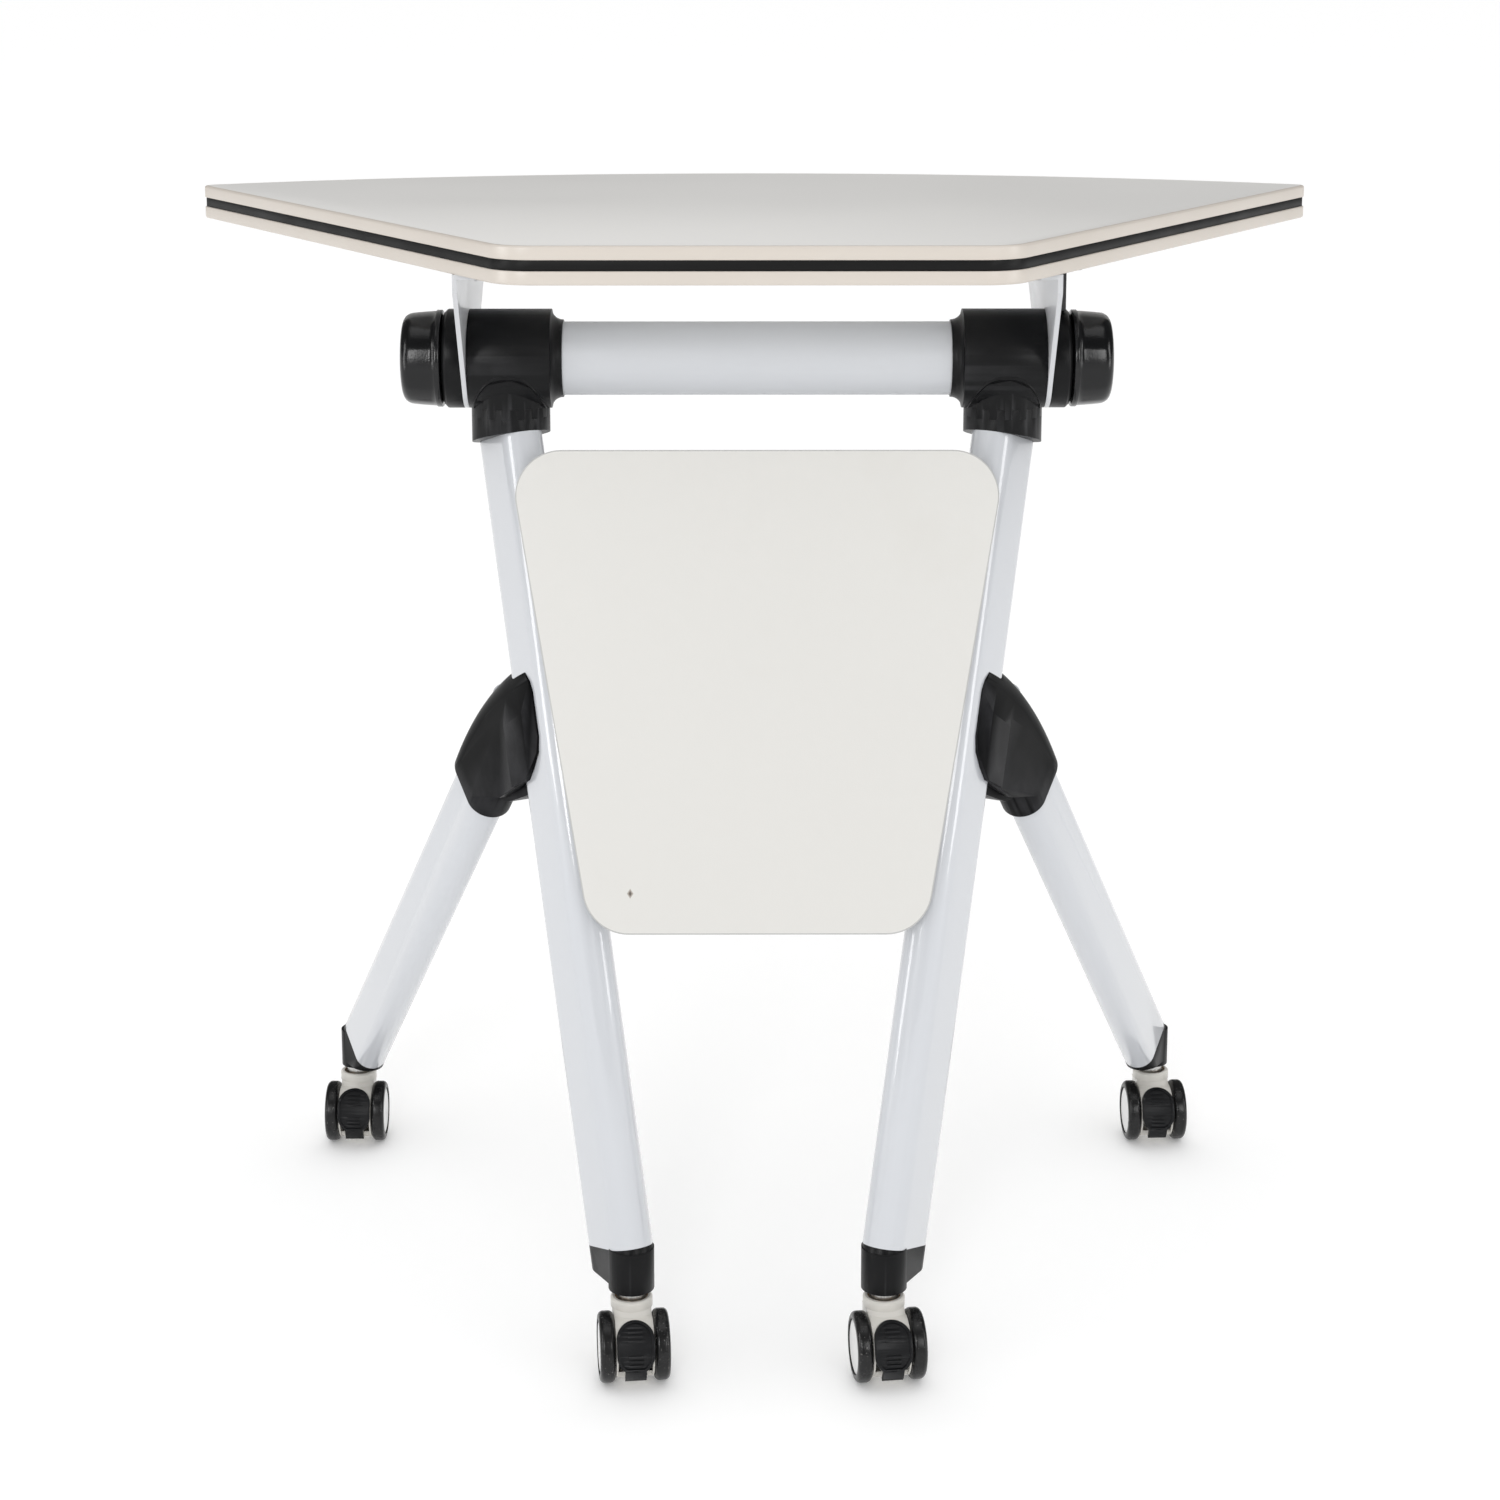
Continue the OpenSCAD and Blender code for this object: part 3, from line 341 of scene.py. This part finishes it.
# %% Paint of the tubes
powder_coat = plain_finish(
    "pale_powder_coat", (0.605, 0.622, 0.652), (0.58, 0.597, 0.628), 0.34, 700, 0.01 * MM,
    spread=0.05, coat=0.9, coat_roughness=0.06,
)[0]
beam_paint = plain_finish(
    "beam_paint", (0.60, 0.615, 0.64), (0.575, 0.59, 0.615), 0.42, 700, 0.01 * MM,
    spread=0.05, specular=0.35,
)[0]


# %% Black mouldings
def black_moulding(name, tone, rubbed, roughness, grain, specular=0.2):
    """Bluish black plastic, paler where its edges are rubbed"""
    material, tree, shader, place = plain_finish(
        name, (tone * 1.1, tone * 1.15, tone * 1.3), (tone * 0.85, tone * 0.9, tone * 1.05),
        roughness, grain, 0.03 * MM, drift=18.0, specular=specular
    )
    tint(tree, shader, group_value(tree, "rubbed_edges", place, "Mask", Low=0.53, High=0.66), rubbed)
    return material


joint_black = black_moulding("joint_black", 0.004, (0.045, 0.045, 0.048), 0.36, 1100, 0.17)
coupling_black = black_moulding("coupling_black", 0.003, (0.04, 0.04, 0.043), 0.32, 1100, 0.02)
knob_black = black_moulding("knob_black", 0.004, (0.05, 0.05, 0.053), 0.2, 900, 0.35)
pedal_black = black_moulding("pedal_black", 0.008, (0.07, 0.07, 0.072), 0.40, 1200)
stop_black = black_moulding("stop_black", 0.008, (0.08, 0.08, 0.08), 0.45, 1500)

# %% [markdown]
# The modesty panel is white laminate. It has a few faint stains, and near its left edge the laminate
# is chipped down to the brown core. Masks in Object coordinates put each mark where it is.

# %% Panel laminate with its marks
panel_white, panel_tree, panel_shader, panel_place = plain_finish(
    "panel_white", (0.695, 0.686, 0.658), (0.67, 0.66, 0.633), 0.44, 1300, drift=4.0
)
blotches = remap(panel_tree, noise(panel_tree, panel_place, 9.0, 4.0).outputs["Fac"], 0.62, 0.78, 0, 0.5)
tint(panel_tree, panel_shader, blotches, (0.64, 0.62, 0.58))
CHIP_AT = (-85 * MM, 324 * MM)
CHIP_RIM, CHIP_CORE = (2.1 * MM, 3.1 * MM), (1.0 * MM, 1.7 * MM)
for half_size, colour in ((CHIP_RIM, (0.36, 0.32, 0.28)), (CHIP_CORE, (0.12, 0.10, 0.085))):
    tint(panel_tree, panel_shader, kite_mask(panel_tree, panel_place, CHIP_AT, *half_size), colour)
# Grey of the cut edge on the sides, also used as painted shade for the thin line round the face
panel_edge_and_shadow_line = plain_finish(
    "panel_edge_and_shadow_line", (0.50, 0.50, 0.49), (0.44, 0.44, 0.43), 0.5, 900, 0.03 * MM, drift=20.0
)[0]


# %% Metals
def mottled_metal(name, light, dark, roughness, scale):
    """Plated metal with fine patches, the pale ones smoother than the dark ones"""
    material, tree, shader, place = finish_named(name, roughness, metallic=1.0)
    patches = noise(tree, place, scale, 4.0).outputs["Fac"]
    tree.links.new(mix_colours(tree, patches, dark, light), shader.inputs["Base Color"])
    patchy_roughness = remap(tree, patches, 0.3, 0.7, roughness + 0.1, roughness - 0.08)
    tree.links.new(patchy_roughness, shader.inputs["Roughness"])
    add_bump(tree, shader, patches, 0.02 * MM)
    return material


zinc_steel = mottled_metal("zinc_steel", (0.66, 0.66, 0.65), (0.52, 0.52, 0.50), 0.36, 400.0)
clip_bronze = mottled_metal("clip_bronze", (0.55, 0.36, 0.20), (0.36, 0.22, 0.12), 0.35, 300.0)
bracket_paint = plain_finish(
    "bracket_paint", (0.60, 0.61, 0.63), (0.57, 0.58, 0.60), 0.36, 800, drift=9.0, coat=0.4
)[0]

# %% Castor plastics and rubber
hood_cream = plain_finish("hood_cream", (0.70, 0.68, 0.635), (0.665, 0.645, 0.60), 0.34, 1300, drift=30.0)[0]
hub_white = plain_finish("hub_white", (0.76, 0.76, 0.755), (0.73, 0.73, 0.725), 0.34, 1300, drift=40.0)[0]
tyre_rubber, tyre_tree, tyre_shader, tyre_place = plain_finish(
    "tyre_rubber", (0.010, 0.010, 0.0105), (0.006, 0.006, 0.006), 0.28, 800, 0.03 * MM,
    drift=60.0, specular=0.35,
)
dust = noise(tyre_tree, tyre_place, 700.0, 1.0).outputs["Fac"]
tint(tyre_tree, tyre_shader, remap(tyre_tree, dust, 0.68, 0.76, 0, 1), (0.12, 0.117, 0.112))
print("finishes:", len(bpy.data.materials))

# %% [markdown]
# ## Easing the edges
# Real edges are never sharp: they catch a line of light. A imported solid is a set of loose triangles,
# so a copy of it is merged, its flat faces are joined again, and a Bevel modifier rounds every edge
# that turns more than a cylinder's facets do. The copy stands for its solid.


# %% Helpers that ease a copy of a solid
MERGE_WITHIN = 0.002 * MM
FLAT_WITHIN = math.radians(0.4)
SHARP_FROM = 0.35


def merged_copy(node):
    """Copy a solid's mesh with its triangles merged and its flat faces joined"""
    bm = bmesh.new()
    bm.from_mesh(frame["nodes"][node].data)
    bmesh.ops.remove_doubles(bm, verts=bm.verts, dist=MERGE_WITHIN)
    bmesh.ops.dissolve_limit(bm, angle_limit=FLAT_WITHIN, verts=bm.verts, edges=bm.edges)
    return bm


def add_piece(bm, name, body, slot, *materials, ease=0.0, segments=3, turn=32):
    """Make a visible piece that rides a body, with a Bevel modifier where the turn is sharper than given"""
    mesh = bpy.data.meshes.new(name)
    bm.to_mesh(mesh)
    bm.free()
    mesh.shade_smooth()
    for material in materials:
        mesh.materials.append(material)
    piece = bpy.data.objects.new(name, mesh)
    bpy.context.scene.collection.objects.link(piece)
    if ease:
        bevel = piece.modifiers.new("eased_edges", "BEVEL")
        bevel.width, bevel.segments = ease, segments
        bevel.limit_method, bevel.angle_limit = "ANGLE", math.radians(turn)
        bevel.harden_normals = True
    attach(piece, body)
    return piece


def stands_for(bm, node, *materials, **easing):
    piece = add_piece(bm, node + "_eased", body_of[node], slot_of[node], *materials, **easing)
    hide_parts(node)
    return piece


def eased(node, material, ease, segments=3, turn=32):
    return stands_for(merged_copy(node), node, material, ease=ease, segments=segments, turn=turn)


def round_edges(bm, wanted, offset, segments=4):
    """Round the sharp edges that a test picks out, and say how many there are"""
    sharp = [e for e in bm.edges if len(e.link_faces) == 2 and e.calc_face_angle() > SHARP_FROM]
    edges = [e for e in sharp if wanted(e)]
    bmesh.ops.bevel(
        bm, geom=edges, offset=offset, offset_type="OFFSET", segments=segments, profile=0.5,
        affect="EDGES", material=-1, clamp_overlap=True,
    )
    return len(edges)


# %% [markdown]
# ## The worktop
# The board is laminated on its face and lipped all round with a cream edge that holds a black stripe
# in a groove. The two lips of the edge are rounded by hand, so their edges are picked by the way
# their upright faces look: outwards, away from the middle of the desk.

# %% Round the lipping and ease the board
RIM_ROUND, GROOVE_ROUND = 1.7 * MM, 0.7 * MM
GROOVE_REACH = 6 * MM
lip_low, lip_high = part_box("edge_lipping")
middle = (lip_low + lip_high) / 2
lips = merged_copy("edge_lipping")


def on_outer_face(edge):
    flat = [f for f in edge.link_faces if abs(f.normal.z) > 0.9]
    upright = [f for f in edge.link_faces if abs(f.normal.z) < 0.1]
    if not (flat and upright):
        return False
    point = (edge.verts[0].co + edge.verts[1].co) / 2
    return upright[0].normal.x * (point.x - middle.x) + upright[0].normal.y * (point.y - middle.y) > 0


def at_rim(edge):
    z = edge.verts[0].co.z
    return on_outer_face(edge) and (z > lip_high.z - 1 * MM or z < lip_low.z + 1 * MM)


def at_groove(edge):
    return on_outer_face(edge) and abs(edge.verts[0].co.z - middle.z) < GROOVE_REACH


rim_count = round_edges(lips, at_rim, RIM_ROUND, 5)
groove_count = round_edges(lips, at_groove, GROOVE_ROUND, 3)
stands_for(lips, "edge_lipping", lipping)
eased("top_board", laminate, 0.15 * MM, 2)
eased("edge_stripe", stripe, 0.2 * MM, 2)
print("rounded", rim_count, "rim edges and", groove_count, "groove edges")

# %% [markdown]
# ## The T-joints
# A T-joint is a thick barrel on the beam with a neck below it. Its inner end runs down to the beam
# in a hollow curve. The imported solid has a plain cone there, so planes cut the cone into rings, and
# each ring is drawn in to the curve.

# %% Hollow the inner end of each barrel
BARREL_R = 33.7 * MM
TAPER = 8 * MM
LIP_OVER_BEAM = 1.4 * MM
BORE_LIMIT = 0.6 * MM
CUTS = (0.2, 0.4, 0.6, 0.75, 0.87, 0.95)
beam_y, beam_z = pivot["top_flip"].y, pivot["top_flip"].z
beam_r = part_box("beam_tube")[1].z - beam_z


def hollowed_t_joint(side):
    """A T-joint whose inner cone is drawn in to a quarter of an ellipse, apart from its bore"""
    bm = merged_copy("t_joint_" + side)
    inner_end = min(abs(corner.x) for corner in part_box("t_joint_" + side))
    way = -1 if side == "left" else 1
    for share in CUTS:
        bmesh.ops.bisect_plane(
            bm, geom=bm.verts[:] + bm.edges[:] + bm.faces[:], dist=0.001 * MM,
            plane_co=(way * (inner_end + share * TAPER), 0, 0), plane_no=(1, 0, 0),
        )
    moved = 0
    for v in bm.verts:
        share = (abs(v.co.x) - inner_end) / TAPER
        across = Vector((0, v.co.y - beam_y, v.co.z - beam_z))
        if 0.01 < share < 0.99 and across.length > beam_r + BORE_LIMIT:
            low = beam_r + LIP_OVER_BEAM
            radius = low + (BARREL_R - low) * (1 - math.sqrt(1 - share * share))
            v.co = Vector((v.co.x, beam_y, beam_z)) + across.normalized() * radius
            moved += 1
    return bm, moved


for side in SIDES:
    bm, moved = hollowed_t_joint(side)
    stands_for(bm, "t_joint_" + side, joint_black, ease=0.45 * MM)
    print("t_joint", side, "points drawn in:", moved)

# %% [markdown]
# In front and behind, the neck runs up into the barrel in a saddle with an arched upper edge. It is a
# disc cut from the neck's plan, which is a rounded square, laid on the barrel and thickened. Insets
# give it rings of faces, and every point is dropped onto a cylinder just proud of the barrel.

# %% Lay a saddle on each barrel
SADDLE_R = 34.5 * MM
SADDLE_T = 2.5 * MM
SADDLE_HALF_X, SADDLE_HALF_Y = 25.3 * MM, 32.9 * MM
SQUARENESS = 3.3
NECK_X = 168 * MM
RINGS, RING_WIDTH = 10, 0.09
for side in SIDES:
    neck_x = -NECK_X if side == "left" else NECK_X
    bm = bmesh.new()
    bmesh.ops.create_circle(bm, cap_ends=True, segments=96, radius=1.0)
    for ring in range(RINGS):
        cap = max(bm.faces, key=lambda f: len(f.verts))
        bmesh.ops.inset_region(bm, faces=[cap], thickness=RING_WIDTH, use_even_offset=True)
    for v in bm.verts:
        way = v.co.normalized()
        square = (abs(way.x) ** SQUARENESS + abs(way.y) ** SQUARENESS) ** (-1 / SQUARENESS)
        x, y = v.co.x * square * SADDLE_HALF_X, v.co.y * square * SADDLE_HALF_Y
        v.co = Vector((neck_x + x, beam_y + y, beam_z - math.sqrt(SADDLE_R ** 2 - y * y)))
    bmesh.ops.recalc_face_normals(bm, faces=bm.faces)
    if max(bm.faces, key=lambda f: len(f.verts)).normal.z > 0:
        bmesh.ops.reverse_faces(bm, faces=bm.faces)
    bmesh.ops.solidify(bm, geom=bm.faces[:], thickness=SADDLE_T)
    bmesh.ops.recalc_face_normals(bm, faces=bm.faces)
    add_piece(bm, "neck_saddle_" + side, "frame", slot_of["t_joint_" + side], joint_black, ease=0.5 * MM)
print("saddles stand", round((SADDLE_R - BARREL_R) / MM, 2), "mm proud of the barrels")

# %% [markdown]
# ## The knobs
# A clamp knob is a profile spun round the beam's axis, as if it were turned on a lathe. The profile
# lists distances in millimetres from the knob's inner face and from the axis. The grip has fourteen
# shallow flats: its points are drawn about a third of the way to the sides of a fourteen-sided prism,
# which leaves a fine ridge between each two flats.

# %% Spin the knobs
FLATS = 14
FLATNESS = 0.3
FIRST_RIDGE = math.radians(82.5)
STEPS_PER_FLAT = 12
GRIP_FROM, GRIP_FADES_IN = 5.1 * MM, 1.5 * MM
GRIP_TO, GRIP_FADES_OUT = 26.5 * MM, 4.5 * MM
GRIP_LEAST_R = 26 * MM
flat_angle = 2 * math.pi / FLATS
knob_profile = [
    (23.3, 0), (23.3, 5.2), (0.3, 5.2), (0.3, 29.2), (0.7, 29.5), (0.9, 32.4), (1.5, 33.0), (4.4, 33.0),
    (5.0, 32.5), (5.2, 32.2), (8.0, 32.1), (12.0, 31.8), (16.0, 31.5), (20.0, 31.1), (22.2, 30.8),
    (24.0, 30.1),
    (25.8, 28.8), (27.0, 27.1), (27.8, 25.0), (28.2, 22.5), (28.6, 17.0), (28.9, 9.0), (29.0, 0),
]
for side in SIDES:
    way = -1 if side == "left" else 1
    inner_face = min(abs(corner.x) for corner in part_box("clamp_knob_" + side))
    bm = bmesh.new()
    points = [bm.verts.new((way * (inner_face + x * MM), beam_y, beam_z + r * MM)) for x, r in knob_profile]
    rim = [bm.edges.new(pair) for pair in zip(points, points[1:])]
    bmesh.ops.spin(
        bm, geom=points + rim, cent=(0, beam_y, beam_z), axis=(1, 0, 0), dvec=(0, 0, 0),
        angle=2 * math.pi, steps=FLATS * STEPS_PER_FLAT, use_merge=True,
    )
    bmesh.ops.remove_doubles(bm, verts=bm.verts, dist=0.01 * MM)
    for v in bm.verts:
        along = abs(v.co.x) - inner_face
        across = Vector((0, v.co.y - beam_y, v.co.z - beam_z))
        weight = min(1, max(0, (along - GRIP_FROM) / GRIP_FADES_IN))
        weight *= min(1, max(0, (GRIP_TO - along) / GRIP_FADES_OUT))
        if weight > 0 and across.length > GRIP_LEAST_R:
            angle = math.atan2(-across.y, across.z) + FIRST_RIDGE
            off = angle % flat_angle - flat_angle / 2
            flat = math.cos(flat_angle / 2) / math.cos(off)
            v.co = Vector((v.co.x, beam_y, beam_z)) + across * (1 + (flat - 1) * FLATNESS * weight)
    bmesh.ops.recalc_face_normals(bm, faces=bm.faces)
    stands_for(bm, "clamp_knob_" + side, knob_black)
print("knob flats:", FLATS)

# %% [markdown]
# ## The frame
# Tubes, cups, couplings, feet and brackets keep the shapes of their solids and get eased edges.

# %% Ease the frame
eased("beam_tube", beam_paint, 0.4 * MM)
for side in SIDES:
    eased("front_leg_" + side, powder_coat, 0.5 * MM)
    eased("rear_leg_" + side, powder_coat, 0.5 * MM)
    eased("index_cup_" + side, joint_black, 0.45 * MM)
    eased("leg_coupling_" + side, coupling_black, 1.5 * MM, 4)
    eased("front_foot_" + side, joint_black, 0.8 * MM)
    eased("rear_foot_" + side, joint_black, 0.8 * MM)
    eased("bracket_" + side, bracket_paint, 0.4 * MM)
eased("pivot_collars", joint_black, 0.5 * MM)
eased("stop_plate", stop_black, 0.3 * MM)
for node, material in (
    ("beam_plugs", joint_black), ("clamp_studs", zinc_steel), ("coupling_bolts", zinc_steel),
    ("panel_clips", zinc_steel), ("panel_screws", zinc_steel), ("castor_stems", zinc_steel),
    ("bracket_screws", zinc_steel),
):
    eased(node, material, 0.25 * MM)

# %% [markdown]
# ## The modesty panel
# The cut edge of the laminate on the panel's sides is grey. A thin grey line round the panel's face is
# painted shade,
# the shadow along its edge: an inset of the front face leaves a narrow ring for it, and the ring gets the
# sides' grey finish.

# %% Give the panel its grey sides and a painted shadow line round its face
SHADOW_LINE_WIDTH = 0.9 * MM
bm = merged_copy("modesty_panel")
front = max(bm.faces, key=lambda f: -f.normal.y * f.calc_area())
sides = [f for f in bm.faces if f is not front and f.normal.dot(front.normal) > -0.9]
for face in sides:
    face.material_index = 1
# The narrow ring is painted shade: a grey line round the face that stands for the shadow along the edge
ring = bmesh.ops.inset_region(bm, faces=[front], thickness=SHADOW_LINE_WIDTH, use_even_offset=True)["faces"]
for face in ring:
    face.material_index = 1
stands_for(bm, "modesty_panel", panel_white, panel_edge_and_shadow_line, ease=0.35 * MM)
print("panel edge faces:", len(ring))

# %% [markdown]
# ## The castors
# A castor's hood swells from a round neck into its body. The circular edges of the neck are picked by
# their distance from the stem and rounded well, and the rest is only eased. A thin bronze clip lies
# in the neck's cup: a small ring of points spun round the stem.


# %% Round the hoods
NECK_ROUND = 1.1 * MM
NECK_FROM_Z = 45 * MM
STEM_ROOM = 12.5 * MM


def rounded_hood(corner):
    bm = merged_copy(corner + "_castor_hood")
    stem = pivot[corner + "_swivel"]

    def on_neck(edge):
        return all(
            v.co.z > NECK_FROM_Z and math.hypot(v.co.x - stem.x, v.co.y - stem.y) > STEM_ROOM
            for v in edge.verts
        )

    return bm, round_edges(bm, on_neck, NECK_ROUND)


for corner in CORNERS:
    bm, count = rounded_hood(corner)
    stands_for(bm, corner + "_castor_hood", hood_cream, ease=0.35 * MM)
print("neck edges rounded on the last hood:", count)

# %% Lay a clip in each neck
CLIP_WIRE_R = 0.55 * MM
CLIP_R = 10.6 * MM
CLIP_Z = 52.2 * MM
for corner in CORNERS:
    stem = pivot[corner + "_swivel"]
    bm = bmesh.new()
    section = bmesh.ops.create_circle(bm, segments=12, radius=CLIP_WIRE_R)["verts"]
    bmesh.ops.rotate(bm, verts=section, cent=(0, 0, 0), matrix=Matrix.Rotation(math.pi / 2, 3, "X"))
    bmesh.ops.translate(bm, verts=section, vec=(stem.x + CLIP_R, stem.y, CLIP_Z))
    bmesh.ops.spin(
        bm, geom=bm.verts[:] + bm.edges[:], cent=(stem.x, stem.y, 0), axis=(0, 0, 1), dvec=(0, 0, 0),
        angle=2 * math.pi, steps=64, use_merge=True,
    )
    bmesh.ops.recalc_face_normals(bm, faces=bm.faces)
    add_piece(bm, corner + "_neck_clip", corner + "_castor", slot_of[corner + "_axle"], clip_bronze)
print("clips:", len(CORNERS))

# %% Ease the wheels and pedals
for corner in CORNERS:
    eased(corner + "_axle", zinc_steel, 0.3 * MM)
    eased(corner + "_brake_pedal", pedal_black, 0.3 * MM)
    for side in SIDES:
        eased(f"{corner}_{side}_tyre", tyre_rubber, 0.3 * MM)
        eased(f"{corner}_{side}_hub", hub_white, 0.4 * MM)
